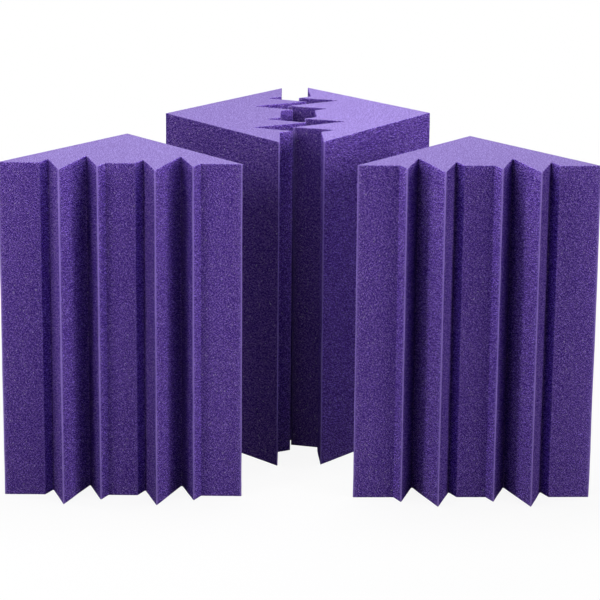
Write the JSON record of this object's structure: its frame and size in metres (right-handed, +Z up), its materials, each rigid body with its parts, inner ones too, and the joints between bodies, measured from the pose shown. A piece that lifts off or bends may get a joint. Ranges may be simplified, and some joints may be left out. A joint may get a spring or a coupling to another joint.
{
  "type": "corner bass trap set",
  "caption": "Set of tall right-angled foam prisms for room corners, each with zig-zag teeth down its front, cut in matching pairs from square blocks.",
  "frame": {"origin": "middle of the whole set's box in X and Y, on the floor that the set stands on", "axes": "+X to the right along the front pair, +Y to the back, +Z up; the front pair's teeth face -Y"},
  "size_m": [1.0432, 0.6336, 0.61],
  "materials": {
    "purple_foam": "matt open-cell polyurethane foam, purple"
  },
  "bodies": {
    "root": {"trap_front_left": "purple_foam", "trap_front_right": "purple_foam", "trap_rear_left": "purple_foam", "trap_rear_right": "purple_foam"}
  },
  "joints": []
}
